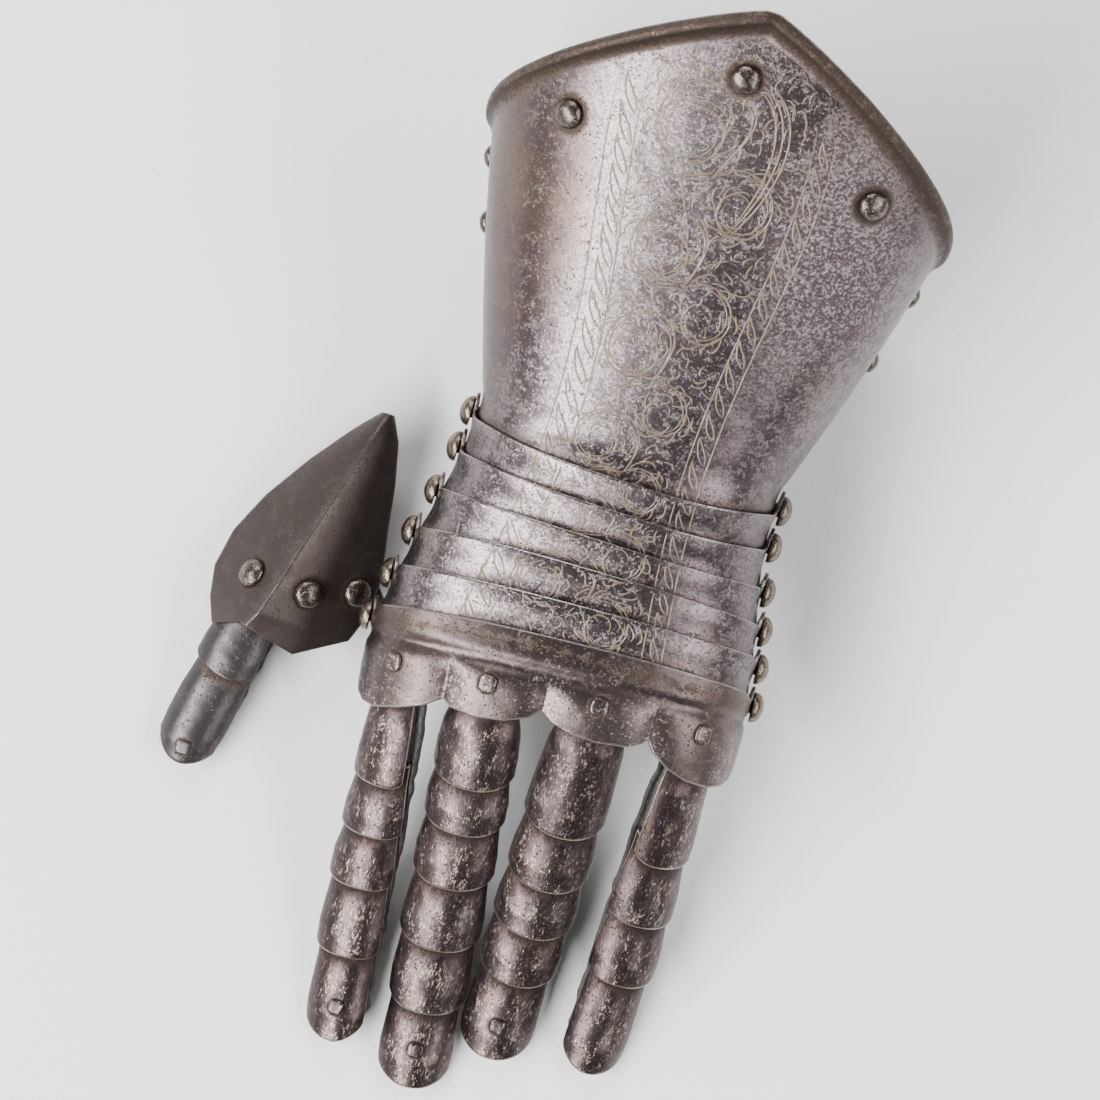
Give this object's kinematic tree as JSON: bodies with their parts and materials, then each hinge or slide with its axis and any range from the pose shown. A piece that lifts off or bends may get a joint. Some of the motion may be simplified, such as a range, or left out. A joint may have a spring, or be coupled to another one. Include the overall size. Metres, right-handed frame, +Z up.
{
  "type": "armoured gauntlet",
  "caption": "Articulated steel gauntlet for the left hand with a flared etched cuff, sliding lames, an embossed knuckle plate, scaled fingers and a ridged thumb cover.",
  "frame": {"origin": "middle of the gauntlet's box on the surface that it lies on, palm down", "axes": "+Z up, +Y from the fingers to the cuff's rim, +X towards the little finger"},
  "size_m": [0.1784, 0.3294, 0.1114],
  "materials": {
    "steel": "old polished steel with grey-brown patina, pits and etched foliage",
    "thumb_steel": "darker brown stippled steel",
    "rivet": "dull worn domes",
    "leather": "old black-brown strap leather"
  },
  "bodies": {
    "cuff": {"cuff_plate": "steel", "inner_cuff_plate": "steel", "rim_rivet_left": "rivet", "rim_rivet_centre": "rivet", "rim_rivet_right": "rivet", "cuff_side_rivet_1": "rivet", "cuff_side_rivet_2": "rivet", "cuff_side_rivet_3": "rivet", "cuff_side_rivet_4": "rivet"},
    "lame_1": {"lame_1": "steel", "lame_rivet_1_left": "rivet", "lame_rivet_1_right": "rivet"},
    "lame_2": {"lame_2": "steel", "lame_rivet_2_left": "rivet", "lame_rivet_2_right": "rivet"},
    "lame_3": {"lame_3": "steel", "lame_rivet_3_left": "rivet", "lame_rivet_3_right": "rivet"},
    "lame_4": {"lame_4": "steel", "lame_rivet_4_left": "rivet", "lame_rivet_4_right": "rivet"},
    "lame_5": {"lame_5": "steel", "lame_rivet_5_left": "rivet", "lame_rivet_5_right": "rivet"},
    "hand": {"lame_rivet_6_left": "rivet", "lame_rivet_6_right": "rivet", "knuckle_plate": "steel", "index_scale_1": "steel", "index_scale_2": "steel", "index_scale_3": "steel", "index_scale_4": "steel", "index_scale_5": "steel", "index_leather": "leather", "middle_scale_1": "steel", "middle_scale_2": "steel", "middle_scale_3": "steel", "middle_scale_4": "steel", "middle_scale_5": "steel", "middle_scale_6": "steel", "middle_leather": "leather", "ring_scale_1": "steel", "ring_scale_2": "steel", "ring_scale_3": "steel", "ring_scale_4": "steel", "ring_scale_5": "steel", "ring_leather": "leather", "little_scale_1": "steel", "little_scale_2": "steel", "little_scale_3": "steel", "little_scale_4": "steel", "little_leather": "leather", "thumb_cover": "thumb_steel", "thumb_scale_1": "thumb_steel", "thumb_scale_2": "thumb_steel", "thumb_leather": "leather", "thumb_rivet_1": "rivet", "thumb_rivet_2": "rivet", "thumb_rivet_3": "rivet", "thumb_tab": "leather"}
  },
  "joints": [
    {"name": "wrist_hinge", "type": "hinge", "parent": "cuff", "child": "lame_1", "pos_m": [0.01843, 0.03344, 0.028], "axis": [1, 0, 0], "range_deg": [-1, 9]},
    {"name": "lame_hinge_2", "type": "hinge", "parent": "lame_1", "child": "lame_2", "pos_m": [0.01843, 0.02226, 0.02716], "axis": [1, 0, 0], "range_deg": [-1, 9]},
    {"name": "lame_hinge_3", "type": "hinge", "parent": "lame_2", "child": "lame_3", "pos_m": [0.01843, 0.0086, 0.02632], "axis": [0.9999, 0.0105, 0], "range_deg": [-1, 9]},
    {"name": "lame_hinge_4", "type": "hinge", "parent": "lame_3", "child": "lame_4", "pos_m": [0.01843, -0.00382, 0.0259], "axis": [0.9995, 0.0314, 0], "range_deg": [-1, 9]},
    {"name": "lame_hinge_5", "type": "hinge", "parent": "lame_4", "child": "lame_5", "pos_m": [0.01843, -0.01624, 0.02562], "axis": [0.9983, 0.0576, 0], "range_deg": [-1, 9]},
    {"name": "knuckle_hinge", "type": "hinge", "parent": "lame_5", "child": "hand", "pos_m": [0.01843, -0.02866, 0.0252], "axis": [0.9971, 0.0767, 0], "range_deg": [-1, 9]}
  ]
}
